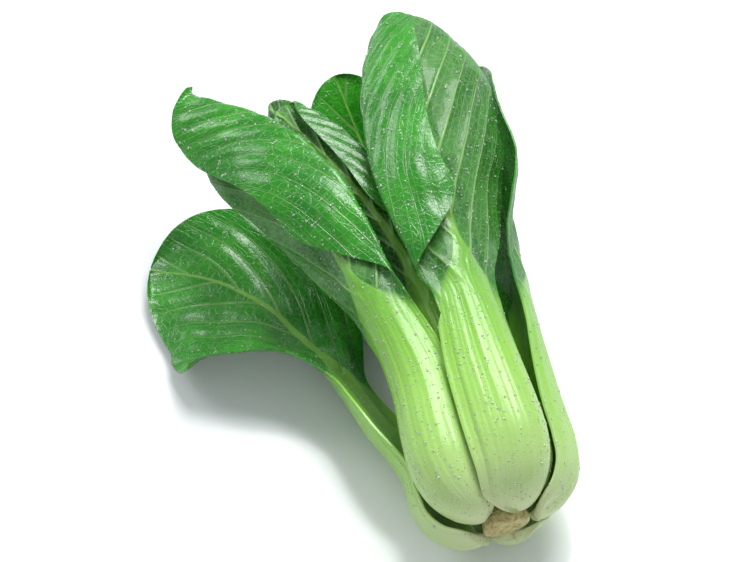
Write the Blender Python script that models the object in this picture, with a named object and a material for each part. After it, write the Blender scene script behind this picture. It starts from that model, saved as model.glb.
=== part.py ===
"""A small bok choy (Shanghai pak choi) lying on a table, leaf by leaf.

Every leaf is one solid, from the foot of its stalk to the tip of its blade. It is first drawn flat,
then its blade is folded, and then it is bent along its own midrib into its place in the bunch.
Lengths in the tables are millimetres. The bunch lies along +Y with its cut foot at the low end.
"""

import math

import bmesh
import bpy
import numpy as np

MM = 0.001

# Driving dimensions
AXIS_HEIGHT = 22.9  # of the bunch's axis above the table, at the foot
AXIS_RISE = 0.14  # rise of the axis for each millimetre along it
AXIS_LEAN = 0.055  # shift of the axis to the right for each millimetre along it
LEAN_FROM = 76.0  # distance along the bunch at which the leaning axis crosses x = 0
EDGE_THICKNESS = 1.0
FOOT_ROUNDING = 6.0  # length of the rounded end of each stalk

# Each ring of stalks is a hollow bulb: (distance along the axis, radius of the stalks' inner faces)
LOWER_RING = [(2.6, 7.9), (5.4, 14.2), (10.8, 18.7), (19, 20.6), (28, 20.9), (46, 19.8), (66, 18.4)]
UPPER_RING = [(2.6, 7.6), (4.6, 13.0), (9.2, 18.2), (16, 20.5), (26, 20.8), (46, 19.8), (66, 18.4)]
INSET_RING = [(4.0, 7.6), (6.0, 13.0), (10.9, 18.0), (18.5, 20.4), (28, 20.7), (46, 19.8), (66, 18.4)]
MIDDLE_RING = [(8.2, 5.6), (10.8, 9.2), (15.6, 12.3), (22, 13.5), (30, 13.8), (46, 13.4), (66, 13.0)]
INNER_RING = [(13.5, 3.6), (16, 6.0), (21, 7.6), (28, 7.9), (36, 7.9), (52, 7.9)]

# Turned about the axis: (distance along the axis, radius)
STEM_PROFILE = [(0.0, 6.4), (0.8, 7.2), (3.2, 7.0), (7, 4.9), (11, 3.0), (16, 1.4)]
BUD_PROFILE = [(16.5, 1.0), (22, 3.6), (32, 5.2), (44, 5.2), (56, 3.4), (66, 1.0)]
TURNED_SIDES = 16

OUTER_COLOUR = (0.22, 0.42, 0.07)
MIDDLE_COLOUR = (0.16, 0.38, 0.05)
INNER_COLOUR = (0.4, 0.58, 0.16)
STEM_COLOUR = (0.62, 0.6, 0.3)
BUD_COLOUR = (0.5, 0.64, 0.24)


def smooth_table(rows, at):
    """Rows of numbers read at any place along them, on a smooth curve through every row."""
    rows = np.array(rows, float)
    keys, values = rows[:, 0], rows[:, 1:]
    slopes = np.gradient(values, keys, axis=0)
    at = np.clip(at, keys[0], keys[-1])
    i = np.clip(np.searchsorted(keys, at) - 1, 0, len(keys) - 2)
    span = (keys[i + 1] - keys[i])[:, None]
    t = (at - keys[i])[:, None] / span
    return (
        values[i] * (1 + 2 * t) * (1 - t) ** 2
        + slopes[i] * span * t * (1 - t) ** 2
        + values[i + 1] * t * t * (3 - 2 * t)
        - slopes[i + 1] * span * t * t * (1 - t)
    )


def smooth_step(low, high, value):
    t = np.clip((value - low) / (high - low), 0, 1)
    return t * t * (3 - 2 * t)


def unit(vectors):
    return vectors / np.linalg.norm(vectors, axis=-1, keepdims=True)


def facing(angle):
    """The way a leaf's back faces: 0 is up, 90 is to the right and 180 is down, seen from the foot."""
    a = np.radians(angle)
    return np.stack([np.sin(a), np.zeros_like(a), np.cos(a)], axis=-1)


def axis_x(y):
    return AXIS_LEAN * (y - LEAN_FROM)


def axis_z(y):
    return AXIS_HEIGHT + AXIS_RISE * y


class Spine:
    """A leaf's midrib as a curve in space, with the way its back faces along it."""

    def __init__(self, ring, azimuth, stalk_rows, blade_rows):
        rows = []
        for y, radius in ring[:stalk_rows]:
            out = radius * facing(azimuth)
            rows.append((axis_x(y) + out[0], y, axis_z(y) + out[2], azimuth))
        rows = np.array(rows + list(blade_rows), float)
        steps = np.linalg.norm(np.diff(rows[:, :3], axis=0), axis=1)
        keys = np.concatenate([[0], np.cumsum(steps)])
        dense_keys = np.linspace(0, keys[-1], 400)
        dense = smooth_table(np.column_stack([keys, rows]), dense_keys)
        steps = np.linalg.norm(np.diff(dense[:, :3], axis=0), axis=1)
        self.along = np.concatenate([[0], np.cumsum(steps)])
        self.length = self.along[-1]
        self.points = dense[:, :3]
        self.tangents = unit(np.gradient(dense[:, :3], self.along, axis=0))
        out = facing(dense[:, 3])
        out -= (out * self.tangents).sum(1, keepdims=True) * self.tangents
        self.backs = unit(out)

    def frame_at(self, along):
        """Point, back direction and rightward direction at each distance from the foot."""
        def read(table):
            return np.stack([np.interp(along, self.along, table[:, k]) for k in range(3)], axis=1)

        point, back, tangent = read(self.points), unit(read(self.backs)), unit(read(self.tangents))
        return point, back, np.cross(tangent, back)


def half_width(leaf, s, length, u):
    """Half the leaf's width, flat, at each distance s from the foot, on the side u points to."""
    neck = leaf["neck"]
    stalk = smooth_table(leaf["stalk"], s)[:, 0]
    blade = np.where(u < 0, leaf["blade"][0], leaf["blade"][1])
    widest = neck + leaf["widening"] * (length - neck)
    whole = stalk + (blade - stalk) * smooth_step(neck - 4, widest, s)
    to_foot = np.clip(1 - s / FOOT_ROUNDING, 0, 1)
    rounding = neck + 0.5 * (length - neck)
    to_tip = np.clip((s - rounding) / (length - rounding), 0, 1)
    return np.maximum(whole * (1 - to_foot**2.4) ** 0.5 * (1 - to_tip ** leaf["tip"]) ** 0.5, 1.6)


def thickness(leaf, s, x, length):
    """Thick along the stalk's middle, thin at its margins and over the blade."""
    neck, thick = leaf["neck"], leaf["thick"]
    rows = [(0, 0.45 * thick), (16, thick), (0.6 * neck, 0.9 * thick), (neck, 0.66 * thick)]
    rows += [(0.5 * (neck + length), 0.3 * thick), (length, EDGE_THICKNESS)]
    middle = smooth_table(rows, s)[:, 0]
    stalk = smooth_table(leaf["stalk"], s)[:, 0]
    rib = 0.8 * (stalk + (3 - stalk) * smooth_step(neck, 0.7 * length + 0.3 * neck, s))
    return EDGE_THICKNESS + np.maximum(middle - EDGE_THICKNESS, 0) * np.clip(1 - (x / rib) ** 2, 0, 1) ** 1.1


def fold(x, s, z, side, crease, radius, degrees):
    """Rolls what lies beyond a crease back over the leaf's outer side. The crease is a table of
    distance along the leaf and distance from the midrib; the roll grows over its first stretch."""
    crease = np.array(crease, float)
    beyond = side * x - smooth_table(crease, s)[:, 0]
    most = np.radians(degrees) * smooth_step(crease[0, 0] - 2, crease[0, 0] + 12, s)
    turn = np.clip(beyond / radius, 0, most)
    rest = np.maximum(beyond - radius * most, 0)
    over = radius * np.sin(turn) + rest * np.cos(turn) - z * np.sin(turn)
    lift = radius * (1 - np.cos(turn)) + rest * np.sin(turn) + z * np.cos(turn)
    folded = beyond > 0
    return np.where(folded, x + side * (over - beyond), x), np.where(folded, lift, z)


def leaf_points(leaf, u, v, side):
    """Places points given as across (-1 to 1), along (0 to 1) and side (0 inner face, 1 back)."""
    spine = Spine(leaf["ring"], leaf["azimuth"], leaf["stalk_rows"], leaf["blade_rows"])
    length = spine.length
    s = length * (v - 0.09 * np.sin(2 * np.pi * v))  # rows lie closer together at both ends
    x = u * half_width(leaf, s, length, u)
    z = side * thickness(leaf, s, x, length)
    in_stalk = 1 - smooth_step(0.8 * leaf["neck"], 1.15 * leaf["neck"], s)
    lap = np.where(u < 0, leaf["laps"][0], leaf["laps"][1])
    z = z + in_stalk * lap * smooth_step(0.4, 0.8, np.abs(u)) * smooth_step(-6, 6, s)
    wave, waves = leaf["wave"]
    phase = waves * 2 * np.pi * v + 2.4 * np.sign(u) + leaf["azimuth"]
    z = z + wave * (1 - in_stalk) * smooth_step(0.4, 1, np.abs(u)) * np.sin(phase)
    for crease in leaf["creases"]:
        x, z = fold(x, s, z, *crease)
    point, back, right = spine.frame_at(s)
    cup = smooth_table(leaf["cup"], s / length)
    across = np.sin(cup * x[:, None]) / cup * right - (1 - np.cos(cup * x[:, None])) / cup * back
    outward = np.cos(cup * x[:, None]) * back + np.sin(cup * x[:, None]) * right
    return point + across + z[:, None] * outward


OUTER = {
    "ring": LOWER_RING, "stalk_rows": 6, "neck": 72, "thick": 6.4, "laps": (1.4, -0.6),
    "wave": (1.2, 3), "creases": [], "colour": OUTER_COLOUR,
    "stalk": [(0, 8.8), (5, 10.6), (11, 12.2), (18, 13.3), (36, 13.6), (50, 12.6), (64, 11), (78, 9.6)],
    "blade": (32, 32), "widening": 0.45, "tip": 2.3, "grid": (10, 18),
    "cup": [(0, 0.042), (0.06, 0.046), (0.12, 0.049), (0.4, 0.05), (0.6, 0.026), (1, 0.02)],
}
UPPER = OUTER | {
    "ring": UPPER_RING, "grid": (12, 22),
    "stalk": [(0, 9.4), (5, 11.4), (11, 13.2), (18, 14.4), (36, 14.6), (50, 13.6), (64, 11.8), (78, 10)],
    "cup": [(0, 0.042), (0.06, 0.046), (0.12, 0.049), (0.4, 0.05), (0.55, 0.036), (1, 0.045)],
}
MIDDLE = {
    "ring": MIDDLE_RING, "stalk_rows": 6, "neck": 64, "thick": 5.0, "laps": (1.3, -0.5),
    "wave": (0.8, 3), "creases": [], "colour": MIDDLE_COLOUR,
    "stalk": [(0, 4.4), (4, 5.8), (9, 7.2), (16, 8.3), (34, 9.0), (50, 8.0), (66, 6.6)],
    "blade": (20, 20), "widening": 0.5, "tip": 2.3, "grid": (8, 15),
    "cup": [(0, 0.098), (0.04, 0.083), (0.1, 0.075), (0.4, 0.072), (0.65, 0.04), (1, 0.035)],
}
INNER = {
    "ring": INNER_RING, "stalk_rows": 5, "neck": 44, "thick": 3.4, "laps": (1.0, -0.4),
    "wave": (0.5, 3), "creases": [], "colour": INNER_COLOUR,
    "stalk": [(0, 3.6), (3.5, 5.8), (9, 7.2), (16, 7.6), (28, 7.3), (46, 5.6)],
    "blade": (7, 7), "widening": 0.5, "tip": 2.3, "grid": (6, 10),
    "cup": [(0, 0.17), (0.1, 0.13), (0.5, 0.12), (0.75, 0.06), (1, 0.05)],
}

LEAVES = {
    "outer_leaf_upper_right": UPPER | {
        "azimuth": 22, "laps": (2.0, -0.8), "blade": (39, 30), "widening": 0.36,
        "blade_rows": [(7, 86, 55, 18), (9, 106, 60, 8), (13, 130, 63, 2), (17, 157, 61, 0)],
        "creases": [
            (-1, [(62, 10.5), (72, 11), (84, 12), (112, 16), (140, 14), (156, 8), (166, 1.5)], 2.0, 168),
        ],
    },
    "outer_leaf_upper_left": UPPER | {
        "ring": INSET_RING, "azimuth": -54, "laps": (-0.6, -0.6), "blade": (18, 36), "widening": 0.4,
        "blade_rows": [(-23, 84, 47, -46), (-28, 105, 49, -40), (-37, 130, 48, -38), (-50, 161, 42, -38)],
        "creases": [(1, [(70, 9.5), (86, 10), (100, 11), (130, 11), (155, 5), (168, 1)], 2.0, 168)],
    },
    "outer_leaf_left": OUTER | {
        "azimuth": -124, "laps": (1.4, 1.9), "stalk_rows": 5, "blade": (28, 35), "widening": 0.5,
        "blade_rows": [
            (-27, 48, 19, -124), (-31, 67, 16, -130), (-37, 86, 11, -155),
            (-45, 105, 7.4, -178), (-57, 119, 6.4, -194), (-73, 129, 5.6, -196),
        ],
        "cup": [(0, 0.042), (0.06, 0.046), (0.12, 0.049), (0.4, 0.045), (0.6, 0.014), (1, 0.008)],
    },
    "outer_leaf_under": OUTER | {
        "azimuth": 164, "laps": (1.8, -0.9), "blade": (20, 21),
        "blade_rows": [(3, 86, 5.8, 176), (4, 112, 1.8, 178), (3, 138, 5.5, 180), (-1, 166, 25, 182)],
    },
    "outer_leaf_right": OUTER | {
        "azimuth": 93, "laps": (1.9, -1.0), "stalk_rows": 5, "blade": (25, 16),
        "blade_rows": [
            (23, 66, 29, 98), (27, 86, 27, 104), (31, 106, 26, 112), (33, 130, 28, 118), (33, 150, 31, 120),
        ],
    },
    "middle_leaf_top": MIDDLE | {
        "azimuth": -15, "blade": (6, 21),
        "blade_rows": [(-7, 84, 46, -15), (-12, 104, 49, -12), (-19, 124, 50, -12), (-27, 143, 49, -15)],
        "creases": [(1, [(72, 6.5), (100, 8), (120, 8), (148, 2)], 1.8, 168)],
    },
    "middle_leaf_left": MIDDLE | {
        "azimuth": -87, "blade": (9, 13),
        "blade_rows": [(-17, 84, 32, -72), (-20, 106, 34, -55), (-22, 130, 36, -45), (-25, 155, 36, -40)],
    },
    "middle_leaf_low_left": MIDDLE | {
        "azimuth": -159, "blade": (12, 9),
        "blade_rows": [(-8, 84, 19, -163), (-12, 106, 18, -166), (-16, 128, 19, -168)],
    },
    "middle_leaf_low_right": MIDDLE | {
        "azimuth": 129, "blade": (10, 12),
        "blade_rows": [(15, 84, 22, 133), (18, 106, 24, 138), (20, 128, 26, 138)],
    },
    "middle_leaf_right": MIDDLE | {
        "azimuth": 57, "blade": (14, 10),
        "blade_rows": [(14, 84, 41, 50), (15, 106, 44, 36), (15, 132, 46, 24), (12, 160, 47, 15)],
    },
    "heart_leaf_top": INNER | {
        "azimuth": 20, "blade_rows": [(3, 70, 41, 15), (3, 90, 43, 5), (1, 106, 44, 0)],
    },
    "heart_leaf_right": INNER | {
        "azimuth": 140, "blade_rows": [(7, 70, 29, 136), (8, 88, 30, 136), (8, 102, 31, 136)],
    },
    "heart_leaf_left": INNER | {
        "azimuth": -100, "blade_rows": [(-8, 70, 31, -106), (-10, 88, 31, -106), (-11, 98, 32, -106)],
    },
}


def clear_scene():
    for obj in list(bpy.data.objects):
        bpy.data.objects.remove(obj)


def make_material(name, colour, roughness):
    material = bpy.data.materials.new(name)
    material.use_nodes = True
    shader = material.node_tree.nodes["Principled BSDF"]
    shader.inputs["Base Color"].default_value = (*colour, 1)
    shader.inputs["Roughness"].default_value = roughness
    shader.inputs["Metallic"].default_value = 0
    return material


def add_object(name, bm, colour, roughness):
    """Turns a closed mesh into a named object with its own material, smooth but for its sharp edges."""
    bmesh.ops.recalc_face_normals(bm, faces=bm.faces[:])
    mesh = bpy.data.meshes.new(name)
    bm.to_mesh(mesh)
    bm.free()
    mesh.shade_smooth()
    mesh.set_sharp_from_angle(angle=math.radians(60))
    mesh.materials.append(make_material(name, colour, roughness))
    obj = bpy.data.objects.new(name, mesh)
    bpy.context.scene.collection.objects.link(obj)
    return obj


def make_leaf(name, leaf):
    """A flat slab of quads, its top over its bottom, with every corner moved to its place."""
    columns, rows = leaf["grid"]
    bm = bmesh.new()
    bmesh.ops.create_grid(bm, x_segments=columns, y_segments=rows, size=1)
    raised = bmesh.ops.extrude_face_region(bm, geom=bm.faces[:])["geom"]
    for vert in raised:
        if isinstance(vert, bmesh.types.BMVert):
            vert.co.z = 1
    flat = np.array([vert.co for vert in bm.verts])
    placed = leaf_points(leaf, flat[:, 0], (flat[:, 1] + 1) / 2, flat[:, 2])
    placed[:, 2] = np.maximum(placed[:, 2], 0)  # what would reach through the table is pressed flat on it
    for vert, point in zip(bm.verts, placed):
        vert.co = point * MM
    return add_object(name, bm, leaf["colour"], 0.35)


def make_turned(name, profile, cut_slope, colour):
    """A solid turned about the bunch's axis, its first end cut at a slope."""
    bm = bmesh.new()
    rings = []
    for y, radius in profile:
        ring = []
        for i in range(TURNED_SIDES):
            a = 2 * math.pi * i / TURNED_SIDES
            x, up = radius * math.sin(a), radius * math.cos(a)
            slope = cut_slope * up * max(0, 1 - (y - profile[0][0]) / 3)
            point = (axis_x(y) + x, y - slope, axis_z(y) + up)
            ring.append(bm.verts.new([c * MM for c in point]))
        rings.append(ring)
    for low, high in zip(rings, rings[1:]):
        for i in range(TURNED_SIDES):
            j = (i + 1) % TURNED_SIDES
            bm.faces.new((low[i], low[j], high[j], high[i]))
    bm.faces.new(rings[0])
    bm.faces.new(rings[-1])
    return add_object(name, bm, colour, 0.6)


def centre_on_origin(objects):
    """Parents every piece to one empty, placed so that the bunch stands over the origin."""
    corners = np.array([vert.co for obj in objects for vert in obj.data.vertices])
    middle = (corners.min(axis=0) + corners.max(axis=0)) / 2
    bunch = bpy.data.objects.new("bok_choy", None)
    bpy.context.scene.collection.objects.link(bunch)
    bunch.location = (-middle[0], -middle[1], 0)
    for obj in objects:
        obj.parent = bunch


clear_scene()
pieces = [make_leaf(name, leaf) for name, leaf in LEAVES.items()]
pieces.append(make_turned("stem_base", STEM_PROFILE, 0.2, STEM_COLOUR))
pieces.append(make_turned("heart_bud", BUD_PROFILE, 0, BUD_COLOUR))
centre_on_origin(pieces)
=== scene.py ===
"""A bunch of Shanghai bok choy lying on a smooth white table, freshly rinsed.

The bunch is put together as it grows: outer leaves first, then the ring inside them, the heart and
the cut stem that holds them, and last the water on them. Leaf tables are in millimetres, measured
along and across the bunch from its cut end.
"""

import math

import bmesh
import bpy
import numpy as np
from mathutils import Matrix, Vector


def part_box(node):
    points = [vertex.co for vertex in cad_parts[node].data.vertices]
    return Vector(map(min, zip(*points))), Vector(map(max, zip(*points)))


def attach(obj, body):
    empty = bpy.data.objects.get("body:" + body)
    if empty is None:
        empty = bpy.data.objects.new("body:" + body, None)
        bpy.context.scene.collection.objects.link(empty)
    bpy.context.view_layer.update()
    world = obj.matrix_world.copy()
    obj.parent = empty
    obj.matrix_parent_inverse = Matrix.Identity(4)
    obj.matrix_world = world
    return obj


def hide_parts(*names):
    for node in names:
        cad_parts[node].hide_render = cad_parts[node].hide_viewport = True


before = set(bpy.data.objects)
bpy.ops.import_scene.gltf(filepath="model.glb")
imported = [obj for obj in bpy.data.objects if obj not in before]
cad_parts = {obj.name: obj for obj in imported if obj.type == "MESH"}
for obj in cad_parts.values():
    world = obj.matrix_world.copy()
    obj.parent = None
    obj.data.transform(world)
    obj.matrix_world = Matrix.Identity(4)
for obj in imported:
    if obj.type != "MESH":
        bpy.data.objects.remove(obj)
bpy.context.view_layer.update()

# ---------------------------------------------------------------------------------------------
# Outer leaves. Each is one leaf: a thick, ribbed, pale green stalk, swollen at the foot, that
# turns into a thin green blade. Five of them stand round the stem and lap over one another. Two
# blades are folded along their length, so the glossy upper side shows beside the dull veined back.
# ---------------------------------------------------------------------------------------------
MM = 0.001
AXIS_HEIGHT = 22.9  # of the bunch's axis over the table, at the cut end
AXIS_RISE = 0.14  # for each millimetre towards the tips
AXIS_LEAN = 0.055  # to the right for each millimetre towards the tips
LEAN_FROM = 76.0  # where the leaning axis crosses straight ahead
FOOT_ROUNDING = 6.0
BLADE_THICKNESS = 0.55
SKIN = 0.12  # how far a leaf's faces lie inside its solid

# Each ring of stalks is a hollow bulb: (distance along the axis, radius of the stalks' inner faces)
LOWER_RING = [(2.6, 7.9), (5.4, 14.2), (10.8, 18.7), (19, 20.6), (28, 20.9), (46, 19.8), (66, 18.4)]
UPPER_RING = [(2.6, 7.6), (4.6, 13.0), (9.2, 18.2), (16, 20.5), (26, 20.8), (46, 19.8), (66, 18.4)]
INSET_RING = [(4.0, 7.6), (6.0, 13.0), (10.9, 18.0), (18.5, 20.4), (28, 20.7), (46, 19.8), (66, 18.4)]
MIDDLE_RING = [(8.2, 5.6), (10.8, 9.2), (15.6, 12.3), (22, 13.5), (30, 13.8), (46, 13.4), (66, 13.0)]
INNER_RING = [(13.5, 3.6), (16, 6.0), (21, 7.6), (28, 7.9), (36, 7.9), (52, 7.9)]


def axis_x(y):
    return AXIS_LEAN * (y - LEAN_FROM)


def axis_z(y):
    return AXIS_HEIGHT + AXIS_RISE * y


# The bunch's own measures start on the axis at the cut end. The stem's box ties them to the frame.
stem_low, stem_high = (np.array(corner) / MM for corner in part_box("stem_base"))
STEM_TOP, STEM_WIDEST = 16.0, 0.8
place = np.array([(stem_low[0] + stem_high[0]) / 2 - axis_x(STEM_WIDEST), stem_high[1] - STEM_TOP, 0])


def smooth_table(rows, at):
    """Rows of numbers read at any place along them, on a smooth curve through every row."""
    rows = np.array(rows, float)
    keys, values = rows[:, 0], rows[:, 1:]
    slopes = np.gradient(values, keys, axis=0)
    at = np.clip(at, keys[0], keys[-1])
    i = np.clip(np.searchsorted(keys, at) - 1, 0, len(keys) - 2)
    span = (keys[i + 1] - keys[i])[:, None]
    t = (at - keys[i])[:, None] / span
    return (
        values[i] * (1 + 2 * t) * (1 - t) ** 2
        + slopes[i] * span * t * (1 - t) ** 2
        + values[i + 1] * t * t * (3 - 2 * t)
        - slopes[i + 1] * span * t * t * (1 - t)
    )


def smooth_step(low, high, value):
    t = np.clip((value - low) / (high - low), 0, 1)
    return t * t * (3 - 2 * t)


def unit(vectors):
    return vectors / np.linalg.norm(vectors, axis=-1, keepdims=True)


def facing(angle):
    """The way a leaf's back faces: 0 is up, 90 is to the right and 180 is down, seen from the foot."""
    a = np.radians(angle)
    return np.stack([np.sin(a), np.zeros_like(a), np.cos(a)], axis=-1)


class Spine:
    """A leaf's midrib as a curve in space, with the way its back faces along it."""

    def __init__(self, ring, azimuth, stalk_rows, blade_rows):
        rows = []
        for y, radius in ring[:stalk_rows]:
            out = radius * facing(azimuth)
            rows.append((axis_x(y) + out[0], y, axis_z(y) + out[2], azimuth))
        rows = np.array(rows + list(blade_rows), float)
        steps = np.linalg.norm(np.diff(rows[:, :3], axis=0), axis=1)
        keys = np.concatenate([[0], np.cumsum(steps)])
        dense_keys = np.linspace(0, keys[-1], 400)
        dense = smooth_table(np.column_stack([keys, rows]), dense_keys)
        steps = np.linalg.norm(np.diff(dense[:, :3], axis=0), axis=1)
        self.along = np.concatenate([[0], np.cumsum(steps)])
        self.length = self.along[-1]
        self.points = dense[:, :3]
        self.tangents = unit(np.gradient(dense[:, :3], self.along, axis=0))
        out = facing(dense[:, 3])
        out -= (out * self.tangents).sum(1, keepdims=True) * self.tangents
        self.backs = unit(out)

    def frame_at(self, along):
        """Point, back direction and rightward direction at each distance from the foot."""
        def read(table):
            return np.stack([np.interp(along, self.along, table[:, k]) for k in range(3)], axis=1)

        point, back, tangent = read(self.points), unit(read(self.backs)), unit(read(self.tangents))
        return point, back, np.cross(tangent, back)


def half_width(leaf, s, length, u):
    """Half the leaf's width, flat, at each distance s from the foot, on the side u points to."""
    neck = leaf["neck"]
    stalk = smooth_table(leaf["stalk"], s)[:, 0]
    blade = np.where(u < 0, leaf["blade"][0], leaf["blade"][1])
    widest = neck + leaf["widening"] * (length - neck)
    whole = stalk + (blade - stalk) * smooth_step(neck - 4, widest, s)
    to_foot = np.clip(1 - s / FOOT_ROUNDING, 0, 1)
    rounding = neck + 0.5 * (length - neck)
    to_tip = np.clip((s - rounding) / (length - rounding), 0, 1)
    return np.maximum(whole * (1 - to_foot**2.4) ** 0.5 * (1 - to_tip ** leaf["tip"]) ** 0.5, 0.5)


def thickness(leaf, s, x, length):
    """Thick along the stalk's middle, thin at its margins and over the blade."""
    neck, thick = leaf["neck"], leaf["thick"] - 2 * SKIN
    rows = [(0, 0.45 * thick), (16, thick), (0.6 * neck, 0.9 * thick), (neck, 0.66 * thick)]
    rows += [(0.5 * (neck + length), 0.3 * thick), (length, BLADE_THICKNESS)]
    middle = smooth_table(rows, s)[:, 0]
    rib = 0.8 * midrib_reach(leaf, s, length)
    raised = np.clip(1 - (x / rib) ** 2, 0, 1) ** 1.1
    return BLADE_THICKNESS + np.maximum(middle - BLADE_THICKNESS, 0) * raised


def midrib_reach(leaf, s, length):
    """Half the width of the stalk and of the midrib it narrows into."""
    neck = leaf["neck"]
    stalk = smooth_table(leaf["stalk"], s)[:, 0]
    return stalk + (3 - stalk) * smooth_step(neck, 0.7 * length + 0.3 * neck, s)


def pale_reach(leaf, s, length):
    """Half the width of what shows pale: the whole stalk, then a midrib that runs out at the tip."""
    neck = leaf["neck"]
    stalk = smooth_table(leaf["stalk"], s)[:, 0] + 3
    fanning = 1 - smooth_step(neck - 16, neck + 16, s)
    return stalk * fanning + 1.1 * (1 - smooth_step(neck, length, s)) + 0.25


RUMPLE_WAVES = 7


def rumple(x, s, size, seed):
    """A soft unevenness, between -1 and 1, with bumps of about the given size."""
    draw = np.random.default_rng(seed)
    total = np.zeros_like(s)
    for _ in range(RUMPLE_WAVES):
        angle, phase = draw.uniform(0, math.tau), draw.uniform(0, math.tau)
        scale = draw.uniform(0.6, 1.5)
        ahead = np.cos(angle) * x + np.sin(angle) * s
        total += np.sin(ahead * math.tau * scale / (2 * size) + phase)
    return total / RUMPLE_WAVES * 1.6


VEIN_SPACING = 17.0  # between two side veins where they leave the midrib
VEIN_SWEEP = 1.9  # how far a side vein runs along the leaf for each millimetre across, at first
VEIN_CURVE = 0.022  # and how much more for each further millimetre
VEIN_SLANT = 0.46  # of the spacing along the midrib, the distance square across between veins
FULL_REACH = 24  # the vein_reach of a leaf that these measures fit; smaller leaves scale them


def vein_count(leaf, x, s):
    """Counts side veins along the leaf: a side vein runs where the count passes a half."""
    across, reach = np.abs(x), leaf["vein_reach"]
    ahead = s - VEIN_SWEEP * across * FULL_REACH / reach - VEIN_CURVE * across**2 * FULL_REACH / reach
    uneven = 1.6 * rumple(x, s, 22, leaf["seed"] + 5)
    spacing = VEIN_SPACING * reach / FULL_REACH
    return (ahead + uneven) / spacing + np.where(x < 0, 0.45, 0) + leaf["seed"] * 0.37


def fold(x, s, z, side, crease, radius, degrees):
    """Rolls what lies beyond a crease back over the leaf's outer side. The crease is a table of
    distance along the leaf and distance from the midrib; the roll grows over its first stretch."""
    crease = np.array(crease, float)
    beyond = side * x - smooth_table(crease, s)[:, 0]
    most = np.radians(degrees) * smooth_step(crease[0, 0] - 2, crease[0, 0] + 12, s)
    turn = np.clip(beyond / radius, 0, most)
    rest = np.maximum(beyond - radius * most, 0)
    over = radius * np.sin(turn) + rest * np.cos(turn) - z * np.sin(turn)
    lift = radius * (1 - np.cos(turn)) + rest * np.sin(turn) + z * np.cos(turn)
    folded = beyond > 0
    return np.where(folded, x + side * (over - beyond), x), np.where(folded, lift, z)


def relief(leaf, u, x, s, in_blade, side, count):
    """What stands out of a smooth leaf: ribs on the stalk, veins, puffed-up skin, a ruffled margin."""
    ribs = 0.1 * np.cos(u * math.pi * leaf["ribs"] + 0.8 * np.sin(s / 26 + leaf["seed"]))
    ribs += 0.05 * np.cos(u * math.pi * leaf["ribs"] * 2.3 + leaf["seed"])
    ribs *= (1 - in_blade) * side * smooth_step(4, 22, s)
    off_vein = np.abs(count - np.floor(count) - 0.5)
    to_vein = off_vein * VEIN_SPACING * leaf["vein_reach"] / FULL_REACH * VEIN_SLANT
    vein = np.exp(-((to_vein / 0.75) ** 2)) * (1 - 0.6 * np.abs(u)) * in_blade
    puffed = np.cos(math.tau * count) * in_blade * smooth_step(1.5, 8, np.abs(x))
    margin = smooth_step(0.72, 1, np.abs(u)) * in_blade
    ruffle = margin * rumple(x * 0.2, s, 12, leaf["seed"] + 2)
    broad, narrow = rumple(x, s, 17, leaf["seed"]), rumple(x, s, 6, leaf["seed"] + 1)
    wrinkle = in_blade * (0.75 * broad + 0.2 * narrow)
    raised_vein = vein * (0.26 + 0.2 * side)
    smooth = ribs + raised_vein - 0.18 * puffed * (1 - margin)
    return smooth + 0.35 * ruffle + leaf["wrinkled"] * wrinkle


def leaf_points(leaf, u, v, side):
    """Places points given as across (-1 to 1), along (0 to 1) and side (0 inner face, 1 back).
    Returns them with the measures that the skin's colours follow."""
    spine = Spine(leaf["ring"], leaf["azimuth"], leaf["stalk_rows"], leaf["blade_rows"])
    length = spine.length
    s = length * (v - 0.09 * np.sin(2 * np.pi * v))  # rows lie closer together at both ends
    x = u * half_width(leaf, s, length, u)
    flat_x = x.copy()
    z = SKIN + side * thickness(leaf, s, x, length)
    in_stalk = 1 - smooth_step(0.8 * leaf["neck"], 1.15 * leaf["neck"], s)
    lap = np.where(u < 0, leaf["laps"][0], leaf["laps"][1])
    z = z + in_stalk * lap * smooth_step(0.4, 0.8, np.abs(u)) * smooth_step(-6, 6, s)
    wave, waves = leaf["wave"]
    phase = waves * 2 * np.pi * v + 2.4 * np.sign(u) + leaf["azimuth"]
    z = z + wave * (1 - in_stalk) * smooth_step(0.4, 1, np.abs(u)) * np.sin(phase)
    count = vein_count(leaf, x, s)
    z = z + relief(leaf, u, x, s, 1 - in_stalk, side, count)
    for crease in leaf["creases"]:
        x, z = fold(x, s, z, *crease)
    point, back, right = spine.frame_at(s)
    cup = smooth_table(leaf["cup"], s / length)
    across = np.sin(cup * x[:, None]) / cup * right - (1 - np.cos(cup * x[:, None])) / cup * back
    outward = np.cos(cup * x[:, None]) * back + np.sin(cup * x[:, None]) * right
    placed = point + across + z[:, None] * outward
    placed[:, 2] = np.maximum(placed[:, 2], 0)  # pressed flat where it would reach through the table
    measures = {
        "across": flat_x, "along": s, "rim": np.abs(u), "side": side * 1.0, "count": count,
        "stalk": in_stalk, "fan": pale_reach(leaf, s, length), "rib": u * leaf["ribs"],
        "share": s / leaf["neck"],
    }
    return placed + place, measures


FLAT_WIDTH, FLAT_LENGTH = 120, 200  # of the sheet that a leaf is laid out on for its UV map


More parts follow.
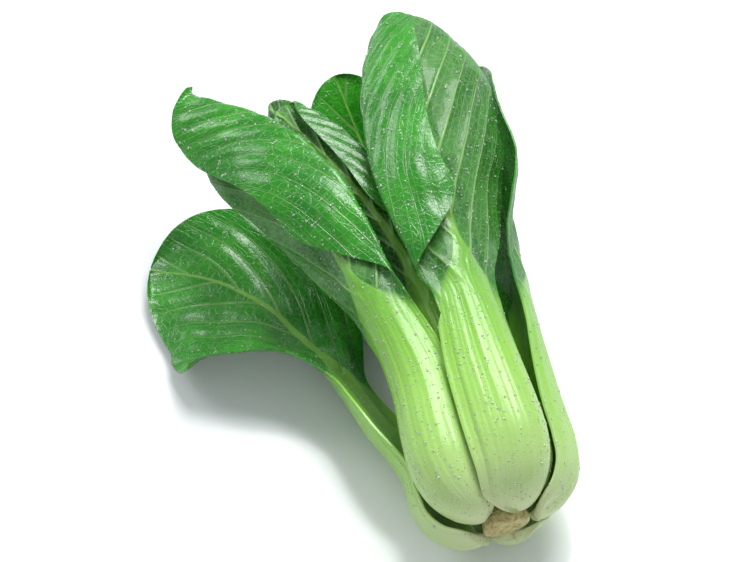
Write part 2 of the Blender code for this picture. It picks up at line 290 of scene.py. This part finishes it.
def grow_leaf(name, leaf, material):
    """A flat slab of quads with every corner moved to its place, and its measures kept on it."""
    columns, rows = leaf["mesh"]
    bm = bmesh.new()
    bmesh.ops.create_grid(bm, x_segments=columns, y_segments=rows, size=1)
    raised = bmesh.ops.extrude_face_region(bm, geom=bm.faces[:])["geom"]
    top = [vert for vert in raised if isinstance(vert, bmesh.types.BMVert)]
    bmesh.ops.translate(bm, verts=top, vec=(0, 0, 1))
    bmesh.ops.recalc_face_normals(bm, faces=bm.faces[:])
    mesh = bpy.data.meshes.new(name)
    bm.to_mesh(mesh)
    bm.free()
    flat = np.empty(len(mesh.vertices) * 3)
    mesh.vertices.foreach_get("co", flat)
    flat = flat.reshape(-1, 3)
    placed, measures = leaf_points(leaf, flat[:, 0], (flat[:, 1] + 1) / 2, flat[:, 2])
    mesh.vertices.foreach_set("co", (placed * MM).ravel())
    for key, values in measures.items():
        mesh.attributes.new(key, "FLOAT", "POINT").data.foreach_set("value", values)
    corners = np.empty(len(mesh.loops), int)
    mesh.loops.foreach_get("vertex_index", corners)
    spread = np.column_stack([0.5 + measures["across"] / FLAT_WIDTH, measures["along"] / FLAT_LENGTH])
    mesh.uv_layers.new(name="flat").data.foreach_set("uv", spread[corners].ravel())
    mesh.shade_smooth()
    mesh.set_sharp_from_angle(angle=math.radians(70))
    mesh.materials.append(material)
    piece = bpy.data.objects.new(name, mesh)
    bpy.context.scene.collection.objects.link(piece)
    if volume_of(mesh) < 0:
        mesh.flip_normals()
    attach(piece, "root")
    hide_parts(name)
    return piece


def volume_of(mesh):
    bm = bmesh.new()
    bm.from_mesh(mesh)
    volume = bm.calc_volume(signed=True)
    bm.free()
    return volume


class Skin:
    """Shorthand for the nodes of one material."""

    def __init__(self, name):
        self.material = bpy.data.materials.new(name)
        self.material.use_nodes = True
        self.tree = self.material.node_tree
        self.shader = self.tree.nodes["Principled BSDF"]

    def feed(self, socket, value):
        if isinstance(value, bpy.types.NodeSocket):
            self.tree.links.new(value, socket)
        elif value is not None:
            socket.default_value = value

    def measure(self, name):
        node = self.tree.nodes.new("ShaderNodeAttribute")
        node.attribute_name = name
        return node.outputs["Fac"]

    def sum(self, operation, first, second=None, third=None):
        node = self.tree.nodes.new("ShaderNodeMath")
        node.operation = operation
        for socket, value in zip(node.inputs, (first, second, third)):
            self.feed(socket, value)
        return node.outputs[0]

    def fade(self, value, low, high, start=0.0, end=1.0):
        """Runs smoothly from start to end while the value goes from low to high."""
        node = self.tree.nodes.new("ShaderNodeMapRange")
        node.interpolation_type = "SMOOTHSTEP"
        for socket, setting in zip(node.inputs, (value, low, high, start, end)):
            self.feed(socket, setting)
        return node.outputs[0]

    def mix(self, share, first, second, blend="MIX"):
        node = self.tree.nodes.new("ShaderNodeMix")
        node.data_type = "RGBA"
        node.blend_type = blend
        self.feed(node.inputs["Factor"], share)
        self.feed(node.inputs[6], (*first, 1) if isinstance(first, tuple) else first)
        self.feed(node.inputs[7], (*second, 1) if isinstance(second, tuple) else second)
        return node.outputs[2]

    def place(self, x, y, z=0.0):
        node = self.tree.nodes.new("ShaderNodeCombineXYZ")
        for socket, value in zip(node.inputs, (x, y, z)):
            self.feed(socket, value)
        return node.outputs[0]

    def noise(self, vector, scale, detail=2.0, roughness=0.5):
        node = self.tree.nodes.new("ShaderNodeTexNoise")
        self.feed(node.inputs["Vector"], vector)
        for key, value in (("Scale", scale), ("Detail", detail), ("Roughness", roughness)):
            node.inputs[key].default_value = value
        return node.outputs["Fac"]

    def cells(self, vector, scale):
        """Distance to the nearest cell wall of an irregular net."""
        node = self.tree.nodes.new("ShaderNodeTexVoronoi")
        node.feature = "DISTANCE_TO_EDGE"
        self.feed(node.inputs["Vector"], vector)
        node.inputs["Scale"].default_value = scale
        return node.outputs["Distance"]

    def ramp(self, value, stops):
        node = self.tree.nodes.new("ShaderNodeValToRGB")
        self.feed(node.inputs[0], value)
        steps = node.color_ramp.elements
        while len(steps) < len(stops):
            steps.new(0.5)
        for step, (position, colour) in zip(steps, stops):
            step.position = position
            step.color = (*colour, 1)
        return node.outputs["Color"]

    def bump(self, height, distance):
        node = self.tree.nodes.new("ShaderNodeBump")
        node.inputs["Distance"].default_value = distance
        node.inputs["Strength"].default_value = 1.0
        self.feed(node.inputs["Height"], height)
        return node.outputs["Normal"]


STALK_STREAK = (0.26, 0.5, 0.1)
STALK_PALE = (0.62, 0.76, 0.42)
STALK_STOPS = [
    (0.0, (0.6, 0.68, 0.36)), (0.1, (0.48, 0.66, 0.26)), (0.26, (0.36, 0.63, 0.14)),
    (0.45, (0.29, 0.6, 0.08)), (0.62, (0.21, 0.51, 0.05)), (0.78, (0.15, 0.43, 0.04)),
    (1.0, (0.18, 0.44, 0.06)),
]
VEIN_COLOUR = (0.2, 0.42, 0.11)
BRANCHES = 3  # fine veins to each side vein


def leaf_skin(name, back, face, spacing):
    """Wet leaf skin: pale ribbed stalk, dull veined back, deep glossy upper face."""
    skin = Skin(name)
    across, along = skin.measure("across"), skin.measure("along")
    side, rim, in_stalk = skin.measure("side"), skin.measure("rim"), skin.measure("stalk")
    flat = skin.place(across, along)
    blotch = skin.noise(flat, 0.055, 3)
    fine = skin.noise(flat, 0.9, 3, 0.6)
    is_back = skin.fade(side, 0.3, 0.7)

    # blade: a dull paler back and a deep upper face, both patchy. Towards the margins the back runs into
    # a deep saturated green, painted shade where the margins curl away from the light
    back_colour = skin.mix(skin.fade(blotch, 0.38, 0.64), back[0], back[1])
    back_colour = skin.mix(skin.fade(rim, 0.62, 1.0, 0.0, 0.7), back_colour, back[2])
    face_colour = skin.mix(skin.fade(blotch, 0.36, 0.66), face[0], face[1])
    blade = skin.mix(is_back, face_colour, back_colour)
    blade = skin.mix(skin.fade(fine, 0.3, 0.75, 0.0, 0.28), blade, back[2])

    # the net of finest veins, side veins and their branches, and the stalk running on as a midrib
    wobble = skin.place(skin.noise(flat, 0.35, 2), skin.noise(flat, 0.31, 2), 0.0)
    shifted = skin.mix(0.12, flat, wobble, "ADD")
    net = skin.fade(skin.cells(shifted, 0.42), 0.02, 0.11, 1.0, 0.0)
    count = skin.measure("count")
    off_vein = skin.sum("ABSOLUTE", skin.sum("SUBTRACT", skin.sum("FRACT", count), 0.5))
    to_side_vein = skin.sum("MULTIPLY", off_vein, spacing * VEIN_SLANT)
    vein_edge = skin.fade(rim, 0.0, 0.9, 0.42, 0.06)
    side_vein = skin.fade(skin.sum("SUBTRACT", to_side_vein, vein_edge), -0.15, 0.3, 1.0, 0.0)
    swaying = skin.sum("ADD", count, skin.sum("MULTIPLY", blotch, 0.5))
    branch_count = skin.sum("FRACT", skin.sum("MULTIPLY", swaying, BRANCHES))
    off_branch = skin.sum("ABSOLUTE", skin.sum("SUBTRACT", branch_count, 0.5))
    to_branch = skin.sum("MULTIPLY", off_branch, spacing * VEIN_SLANT / BRANCHES)
    branch = skin.fade(to_branch, 0.02, 0.28, 0.4, 0.0)
    branch = skin.sum("MULTIPLY", branch, skin.fade(rim, 0.1, 0.3))
    from_rib = skin.sum("SUBTRACT", skin.sum("ABSOLUTE", across), skin.measure("fan"))
    softness = skin.fade(in_stalk, 0.0, 0.6, 0.35, 3.0)
    is_stalk = skin.fade(from_rib, skin.sum("MULTIPLY", softness, -1.0), softness, 1.0, 0.0)
    larger = skin.sum("MAXIMUM", branch, side_vein)
    veins = skin.sum("MAXIMUM", skin.sum("MULTIPLY", net, 0.3), larger)
    shown = skin.fade(is_back, 0.0, 1.0, 0.55, 0.9)
    blade = skin.mix(skin.sum("MULTIPLY", veins, shown), blade, VEIN_COLOUR)

    # stalk: palest at the foot, greener towards the blade, streaked along its ribs
    share = skin.measure("share")
    stalk = skin.ramp(skin.sum("MULTIPLY", share, 0.7), STALK_STOPS)
    rib = skin.measure("rib")
    streak_place = skin.place(skin.sum("MULTIPLY", rib, 1.3), skin.sum("MULTIPLY", along, 0.012))
    streak = skin.noise(streak_place, 1.0, 4, 0.65)
    towards_blade = skin.fade(share, 0.15, 0.9, 0.08, 0.45)
    streaked = skin.sum("MULTIPLY", skin.fade(streak, 0.44, 0.7), towards_blade)
    stalk = skin.mix(streaked, stalk, STALK_STREAK)
    stalk = skin.mix(skin.fade(streak, 0.3, 0.46, 0.3, 0.0), stalk, STALK_PALE)
    colour = skin.mix(is_stalk, blade, stalk)
    skin.feed(skin.shader.inputs["Base Color"], colour)

    gloss = skin.mix(is_back, (0.24, 0.24, 0.24), (0.5, 0.5, 0.5))
    gloss = skin.mix(is_stalk, gloss, (0.32, 0.32, 0.32))
    rough = skin.sum("ADD", gloss, skin.fade(fine, 0.2, 0.8, -0.05, 0.1))
    skin.feed(skin.shader.inputs["Roughness"], rough)
    for key, value in (("Specular IOR Level", 0.5), ("Coat Weight", 0.25), ("Coat Roughness", 0.12)):
        skin.shader.inputs[key].default_value = value
    skin.shader.inputs["Subsurface Weight"].default_value = 0.12
    skin.shader.inputs["Subsurface Radius"].default_value = (0.5, 1.0, 0.2)
    skin.shader.inputs["Subsurface Scale"].default_value = 0.002

    veined = skin.sum("MULTIPLY", veins, skin.fade(is_stalk, 0.0, 0.7, 0.5, 0.0))
    height = skin.sum("ADD", veined, skin.sum("MULTIPLY", fine, 0.35))
    height = skin.sum("ADD", height, skin.sum("MULTIPLY", skin.sum("MULTIPLY", streak, is_stalk), 0.8))
    skin.feed(skin.shader.inputs["Normal"], skin.bump(height, 0.00035))
    return skin.material


# Back colours: two patchy tones, then a deep saturated green that is painted shade along the curled
# margins and also flecks the blade at random
OUTER_BACK = [(0.012, 0.13, 0.008), (0.05, 0.22, 0.028), (0.016, 0.2, 0.006)]
OUTER_FACE = [(0.008, 0.19, 0.004), (0.03, 0.3, 0.01)]

OUTER = {
    "ring": LOWER_RING, "stalk_rows": 6, "neck": 72, "thick": 6.4, "laps": (1.4, -0.6),
    "wave": (1.2, 3), "creases": [], "ribs": 8, "vein_reach": 24, "wrinkled": 1.0,
    "stalk": [(0, 8.8), (5, 10.6), (11, 12.2), (18, 13.3), (36, 13.6), (50, 12.6), (64, 11), (78, 9.6)],
    "blade": (32, 32), "widening": 0.45, "tip": 2.3, "mesh": (96, 210),
    "cup": [(0, 0.042), (0.06, 0.046), (0.12, 0.049), (0.4, 0.05), (0.6, 0.026), (1, 0.02)],
}
UPPER = OUTER | {
    "ring": UPPER_RING, "mesh": (110, 240),
    "stalk": [(0, 9.4), (5, 11.4), (11, 13.2), (18, 14.4), (36, 14.6), (50, 13.6), (64, 11.8), (78, 10)],
    "cup": [(0, 0.042), (0.06, 0.046), (0.12, 0.049), (0.4, 0.05), (0.55, 0.036), (1, 0.045)],
}
outer_skin = leaf_skin("outer_leaf_skin", OUTER_BACK, OUTER_FACE, VEIN_SPACING)
OUTER_LEAVES = {
    "outer_leaf_upper_right": UPPER | {
        "azimuth": 22, "laps": (2.0, -0.8), "blade": (39, 30), "widening": 0.36,
        "blade_rows": [(7, 86, 55, 18), (9, 106, 60, 8), (13, 130, 63, 2), (17, 157, 61, 0)],
        "creases": [
            (-1, [(62, 10.5), (72, 11), (84, 12), (112, 16), (140, 14), (156, 8), (166, 1.5)], 2.0, 168),
        ],
    },
    "outer_leaf_upper_left": UPPER | {
        "ring": INSET_RING, "azimuth": -54, "laps": (-0.6, -0.6), "blade": (18, 36), "widening": 0.4,
        "blade_rows": [(-23, 84, 47, -46), (-28, 105, 49, -40), (-37, 130, 48, -38), (-50, 161, 42, -38)],
        "creases": [(1, [(70, 9.5), (86, 10), (100, 11), (130, 11), (155, 5), (168, 1)], 2.0, 168)],
    },
    "outer_leaf_left": OUTER | {
        "azimuth": -124, "laps": (1.4, 1.9), "stalk_rows": 5, "blade": (28, 35), "widening": 0.5,
        "blade_rows": [
            (-27, 48, 19, -124), (-31, 67, 16, -130), (-37, 86, 11, -155),
            (-45, 105, 7.4, -178), (-57, 119, 6.4, -194), (-73, 129, 5.6, -196),
        ],
        "cup": [(0, 0.042), (0.06, 0.046), (0.12, 0.049), (0.4, 0.045), (0.6, 0.014), (1, 0.008)],
    },
    "outer_leaf_under": OUTER | {
        "azimuth": 164, "laps": (1.8, -0.9), "blade": (20, 21),
        "blade_rows": [(3, 86, 5.8, 176), (4, 112, 1.8, 178), (3, 138, 5.5, 180), (-1, 166, 25, 182)],
    },
    "outer_leaf_right": OUTER | {
        "azimuth": 93, "laps": (1.9, -1.0), "stalk_rows": 5, "blade": (25, 16),
        "blade_rows": [
            (23, 66, 29, 98), (27, 86, 27, 104), (31, 106, 26, 112),
            (33, 130, 28, 118), (33, 150, 31, 120),
        ],
    },
}
outer_leaves = [
    grow_leaf(name, leaf | {"seed": seed}, outer_skin)
    for seed, (name, leaf) in enumerate(OUTER_LEAVES.items(), 11)
]

# ---------------------------------------------------------------------------------------------
# Middle leaves. Five younger leaves fill the gaps inside the outer ones. Their stalks are thinner
# and greener, their blades darker, and most of each is hidden.
# ---------------------------------------------------------------------------------------------
MIDDLE_BACK = [(0.008, 0.1, 0.006), (0.03, 0.18, 0.018), (0.012, 0.16, 0.006)]
MIDDLE_FACE = [(0.01, 0.15, 0.006), (0.02, 0.23, 0.01)]
MIDDLE = {
    "ring": MIDDLE_RING, "stalk_rows": 6, "neck": 64, "thick": 5.0, "laps": (1.3, -0.5),
    "wave": (0.8, 3), "creases": [], "ribs": 6, "vein_reach": 17, "wrinkled": 0.7,
    "stalk": [(0, 4.4), (4, 5.8), (9, 7.2), (16, 8.3), (34, 9.0), (50, 8.0), (66, 6.6)],
    "blade": (20, 20), "widening": 0.5, "tip": 2.3, "mesh": (70, 190),
    "cup": [(0, 0.098), (0.04, 0.083), (0.1, 0.075), (0.4, 0.072), (0.65, 0.04), (1, 0.035)],
}
middle_spacing = VEIN_SPACING * MIDDLE["vein_reach"] / FULL_REACH
middle_skin = leaf_skin("middle_leaf_skin", MIDDLE_BACK, MIDDLE_FACE, middle_spacing)
MIDDLE_LEAVES = {
    "middle_leaf_top": MIDDLE | {
        "azimuth": -15, "blade": (6, 21),
        "blade_rows": [(-7, 84, 46, -15), (-12, 104, 49, -12), (-19, 124, 50, -12), (-27, 143, 49, -15)],
        "creases": [(1, [(72, 6.5), (100, 8), (120, 8), (148, 2)], 1.8, 168)],
    },
    "middle_leaf_left": MIDDLE | {
        "azimuth": -87, "blade": (9, 13),
        "blade_rows": [(-17, 84, 32, -72), (-20, 106, 34, -55), (-22, 130, 36, -45), (-25, 155, 36, -40)],
    },
    "middle_leaf_low_left": MIDDLE | {
        "azimuth": -159, "blade": (12, 9),
        "blade_rows": [(-8, 84, 19, -163), (-12, 106, 18, -166), (-16, 128, 19, -168)],
    },
    "middle_leaf_low_right": MIDDLE | {
        "azimuth": 129, "blade": (10, 12),
        "blade_rows": [(15, 84, 22, 133), (18, 106, 24, 138), (20, 128, 26, 138)],
    },
    "middle_leaf_right": MIDDLE | {
        "azimuth": 57, "blade": (14, 10),
        "blade_rows": [(14, 84, 41, 50), (15, 106, 44, 36), (15, 132, 46, 24), (12, 160, 47, 15)],
    },
}
middle_leaves = [
    grow_leaf(name, leaf | {"seed": seed}, middle_skin)
    for seed, (name, leaf) in enumerate(MIDDLE_LEAVES.items(), 31)
]

# ---------------------------------------------------------------------------------------------
# The heart. Three pale young leaves close round a bud of leaves that haven't opened yet.
# ---------------------------------------------------------------------------------------------
HEART_BACK = [(0.12, 0.32, 0.03), (0.2, 0.42, 0.06), (0.14, 0.36, 0.03)]
HEART_FACE = [(0.1, 0.32, 0.02), (0.18, 0.42, 0.05)]
INNER = {
    "ring": INNER_RING, "stalk_rows": 5, "neck": 44, "thick": 3.4, "laps": (1.0, -0.4),
    "wave": (0.5, 3), "creases": [], "ribs": 5, "vein_reach": 12, "wrinkled": 0.5,
    "stalk": [(0, 3.6), (3.5, 5.8), (9, 7.2), (16, 7.6), (28, 7.3), (46, 5.6)],
    "blade": (7, 7), "widening": 0.5, "tip": 2.3, "mesh": (44, 130),
    "cup": [(0, 0.17), (0.1, 0.13), (0.5, 0.12), (0.75, 0.06), (1, 0.05)],
}
heart_skin = leaf_skin("heart_leaf_skin", HEART_BACK, HEART_FACE, VEIN_SPACING / 2)
HEART_LEAVES = {
    "heart_leaf_top": INNER | {
        "azimuth": 20, "blade_rows": [(3, 70, 41, 15), (3, 90, 43, 5), (1, 106, 44, 0)],
    },
    "heart_leaf_right": INNER | {
        "azimuth": 140, "blade_rows": [(7, 70, 29, 136), (8, 88, 30, 136), (8, 102, 31, 136)],
    },
    "heart_leaf_left": INNER | {
        "azimuth": -100, "blade_rows": [(-8, 70, 31, -106), (-10, 88, 31, -106), (-11, 98, 32, -106)],
    },
}
for seed, (name, leaf) in enumerate(HEART_LEAVES.items(), 51):
    grow_leaf(name, leaf | {"seed": seed}, heart_skin)


def turned(name, profile, sides, cut_slope):
    """A solid of revolution about the bunch's leaning axis, its first end cut at a slope."""
    bm = bmesh.new()
    line = [bm.verts.new((radius, y, 0)) for y, radius in profile]
    edges = [bm.edges.new(pair) for pair in zip(line, line[1:])]
    bmesh.ops.spin(
        bm, geom=line + edges, cent=(0, 0, 0), axis=(0, 1, 0), angle=math.tau, steps=sides,
        use_merge=True,
    )
    bmesh.ops.remove_doubles(bm, verts=bm.verts[:], dist=1e-4)
    bmesh.ops.holes_fill(bm, edges=bm.edges[:])
    start = profile[0][0]
    for vert in bm.verts:
        x, y, up = vert.co
        slope = cut_slope * up * max(0, 1 - (y - start) / 3)
        vert.co = Vector((axis_x(y) + x, y - slope, axis_z(y) + up)) + Vector(place)
        vert.co *= MM
    bmesh.ops.recalc_face_normals(bm, faces=bm.faces[:])
    mesh = bpy.data.meshes.new(name)
    bm.to_mesh(mesh)
    bm.free()
    mesh.shade_smooth()
    mesh.set_sharp_from_angle(angle=math.radians(50))
    piece = bpy.data.objects.new(name, mesh)
    bpy.context.scene.collection.objects.link(piece)
    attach(piece, "root")
    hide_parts(name)
    return piece


BUD_PROFILE = [
    (16.6, 0.0), (17, 1.0), (22, 3.5), (27, 4.5), (32, 5.1), (38, 5.2), (44, 5.1), (50, 4.4),
    (56, 3.3), (62, 1.8), (65.6, 0.0),
]
heart_bud = turned("heart_bud", BUD_PROFILE, 40, 0)
bud_skin = Skin("heart_bud_skin")
bud_place = bud_skin.tree.nodes.new("ShaderNodeTexCoord").outputs["Object"]
bud_streak = bud_skin.noise(bud_place, 320, 3, 0.6)
bud_colour = bud_skin.mix(bud_streak, (0.38, 0.56, 0.14), (0.24, 0.46, 0.07))
bud_skin.feed(bud_skin.shader.inputs["Base Color"], bud_colour)
bud_skin.shader.inputs["Roughness"].default_value = 0.35
bud_skin.feed(bud_skin.shader.inputs["Normal"], bud_skin.bump(bud_streak, 0.0006))
heart_bud.data.materials.append(bud_skin.material)

# ---------------------------------------------------------------------------------------------
# The stem. A short solid cone that every leaf grows from, cut across with a knife. The cut has
# dried to yellow-brown.
# ---------------------------------------------------------------------------------------------
STEM_PROFILE = [
    (0.35, 0.0), (0.3, 1.6), (0.12, 3.2), (0.0, 4.8), (0.0, 6.3), (0.3, 6.9), (0.8, 7.2),
    (2.0, 7.15), (3.2, 7.0), (5, 5.9), (7, 4.9), (9, 3.9), (11, 3.0), (13.5, 2.2), (15.6, 1.4), (16, 0.0),
]
stem_base = turned("stem_base", STEM_PROFILE, 64, 0.2)
stem_skin = Skin("stem_skin")
stem_place = stem_skin.tree.nodes.new("ShaderNodeTexCoord").outputs["Object"]
grain = stem_skin.noise(stem_place, 700, 4, 0.65)
patch = stem_skin.noise(stem_place, 160, 3)
cut_colour = stem_skin.mix(stem_skin.fade(grain, 0.35, 0.7), (0.62, 0.56, 0.26), (0.34, 0.24, 0.07))
cut_colour = stem_skin.mix(stem_skin.fade(patch, 0.5, 0.7), cut_colour, (0.56, 0.62, 0.3))
stem_skin.feed(stem_skin.shader.inputs["Base Color"], cut_colour)
stem_skin.shader.inputs["Roughness"].default_value = 0.7
stem_skin.feed(stem_skin.shader.inputs["Normal"], stem_skin.bump(grain, 0.0008))
stem_base.data.materials.append(stem_skin.material)

# ---------------------------------------------------------------------------------------------
# Rinsing water. Small flattened drops cling to the outer and middle leaves, where a face looks up
# and no other leaf covers it.
# ---------------------------------------------------------------------------------------------
DROP_SIZES = (0.18, 0.5)  # radius, from the commonest to the largest
LOOKING_UP = 0.15  # the least rise of a face's normal that holds a drop
SUNK = 0.35  # where a drop's middle stands, as a share of its own height over the leaf


def water_drops(name, hosts, count, seed):
    """One mesh of many drops, each set on a face of a host leaf that nothing covers."""
    draw = np.random.default_rng(seed)
    bpy.context.view_layer.update()
    depsgraph = bpy.context.evaluated_depsgraph_get()
    drop = bmesh.new()
    bmesh.ops.create_uvsphere(drop, u_segments=8, v_segments=5, radius=1)
    bmesh.ops.triangulate(drop, faces=drop.faces[:])
    corners = np.array([vert.co for vert in drop.verts])
    faces = np.array([[vert.index for vert in face.verts] for face in drop.faces])
    drop.free()
    spots = []
    for host in hosts:
        mesh = host.data
        areas = np.empty(len(mesh.polygons))
        normals = np.empty(len(mesh.polygons) * 3)
        centres = np.empty(len(mesh.polygons) * 3)
        mesh.polygons.foreach_get("area", areas)
        mesh.polygons.foreach_get("normal", normals)
        mesh.polygons.foreach_get("center", centres)
        spots.append(np.column_stack([centres.reshape(-1, 3), normals.reshape(-1, 3), areas]))
    spots = np.concatenate(spots)
    spots = spots[spots[:, 5] > LOOKING_UP]
    chosen = draw.choice(len(spots), count * 3, p=spots[:, 6] / spots[:, 6].sum())
    all_corners, all_faces = [], []
    for index in chosen:
        centre, normal = Vector(spots[index, :3]), Vector(spots[index, 3:6])
        radius = (DROP_SIZES[0] + (DROP_SIZES[1] - DROP_SIZES[0]) * draw.random() ** 4) * MM
        squash, spin = draw.uniform(0.4, 0.65), draw.uniform(0.85, 1.15)
        start = centre + normal * 0.0003
        covered = bpy.context.scene.ray_cast(depsgraph, start, Vector((0, -0.3, 1)))[0]
        if covered or len(all_corners) >= count:
            continue
        side = normal.orthogonal().normalized()
        ahead = normal.cross(side)
        turn = np.array([side * spin, ahead / spin, normal * squash])
        all_faces.append(faces + len(all_corners) * len(corners))
        middle = np.array(centre + normal * radius * squash * SUNK)
        all_corners.append(corners * radius @ turn + middle)
    mesh = bpy.data.meshes.new(name)
    mesh.from_pydata(np.concatenate(all_corners), [], np.concatenate(all_faces).tolist())
    mesh.shade_smooth()
    piece = bpy.data.objects.new(name, mesh)
    bpy.context.scene.collection.objects.link(piece)
    return piece


# The drops are partly an opaque near-white, a painted glint that makes them show as bright specks; the
# rest lets light through like clear water
water = Skin("water")
water.shader.inputs["Base Color"].default_value = (0.95, 1.0, 0.93, 1)
for key, value in (("Roughness", 0.06), ("IOR", 1.33), ("Transmission Weight", 0.72)):
    water.shader.inputs[key].default_value = value
DROPS = {
    "drops_on_upper_right_leaf": (outer_leaves[:1], 1300, 7),
    "drops_on_upper_left_leaf": (outer_leaves[1:2], 1000, 8),
    "drops_on_other_leaves": (outer_leaves[2:] + middle_leaves, 1100, 9),
}
for name, (hosts, count, seed) in DROPS.items():
    drops = water_drops(name, hosts, count, seed)
    drops.data.materials.append(water.material)
    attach(drops, "root")

# ---------------------------------------------------------------------------------------------
# The table, the light and the camera. The table is white, smooth and a little glossy.
# ---------------------------------------------------------------------------------------------
table_mesh = bmesh.new()
bmesh.ops.create_grid(table_mesh, x_segments=2, y_segments=2, size=3)
mesh = bpy.data.meshes.new("table_top")
table_mesh.to_mesh(mesh)
table_mesh.free()
table_top = bpy.data.objects.new("table_top", mesh)
bpy.context.scene.collection.objects.link(table_top)
table_skin = Skin("wet_white_table")
for key, value in (("Roughness", 0.16), ("Specular IOR Level", 0.35)):
    table_skin.shader.inputs[key].default_value = value
table_skin.shader.inputs["Base Color"].default_value = (0.9, 0.92, 0.94, 1)
table_top.data.materials.append(table_skin.material)

world = bpy.data.worlds.new("studio")
bpy.context.scene.world = world
world.use_nodes = True
world.node_tree.nodes["Background"].inputs["Color"].default_value = (0.94, 0.97, 1.0, 1)
world.node_tree.nodes["Background"].inputs["Strength"].default_value = 0.42

LIT = Vector((0, 0, 0.03))  # what every softbox points at
LIGHTS = {  # position, size, power
    "overhead_softbox": ((0.3, 0.35, 0.75), 0.45, 8.0),
    "window_softbox": ((-0.5, 0.65, 0.5), 0.4, 2.6),
    "front_fill": ((-0.1, -0.8, 0.5), 0.6, 1.2),
}
for name, (position, size, power) in LIGHTS.items():
    lamp = bpy.data.lights.new(name, "AREA")
    lamp.size = size
    lamp.energy = power
    light = bpy.data.objects.new(name, lamp)
    light.location = position
    light.rotation_euler = (LIT - Vector(position)).to_track_quat("-Z", "Y").to_euler()
    bpy.context.scene.collection.objects.link(light)

CAMERA_HEIGHT_ANGLE = math.radians(58)
CAMERA_TURN = math.radians(19)
VIEW_WIDTH = 225.0  # millimetres across the picture at the bunch
LENS, SENSOR = 220.0, 36.0
sight_across = Vector((math.cos(CAMERA_TURN), -math.sin(CAMERA_TURN), 0))
sight_along = Vector((math.sin(CAMERA_TURN), math.cos(CAMERA_TURN), 0))
sight = sight_along * math.cos(CAMERA_HEIGHT_ANGLE) - Vector((0, 0, math.sin(CAMERA_HEIGHT_ANGLE)))
AIM_ACROSS, AIM_ALONG, AIM_HEIGHT = -42.5, 70, 24  # from the bunch's cut end, as the camera sees it
aim = Vector(place) + sight_across * AIM_ACROSS
aim += sight_along * (AIM_ALONG / math.sin(CAMERA_HEIGHT_ANGLE)) + Vector((0, 0, AIM_HEIGHT))
lens = bpy.data.cameras.new("camera")
lens.lens, lens.sensor_width = LENS, SENSOR
camera = bpy.data.objects.new("camera", lens)
camera.location = (aim - sight * VIEW_WIDTH * LENS / SENSOR) * MM
camera.rotation_euler = sight.to_track_quat("-Z", "Y").to_euler()
bpy.context.scene.collection.objects.link(camera)
bpy.context.scene.camera = camera
bpy.context.scene.view_settings.view_transform = "Standard"
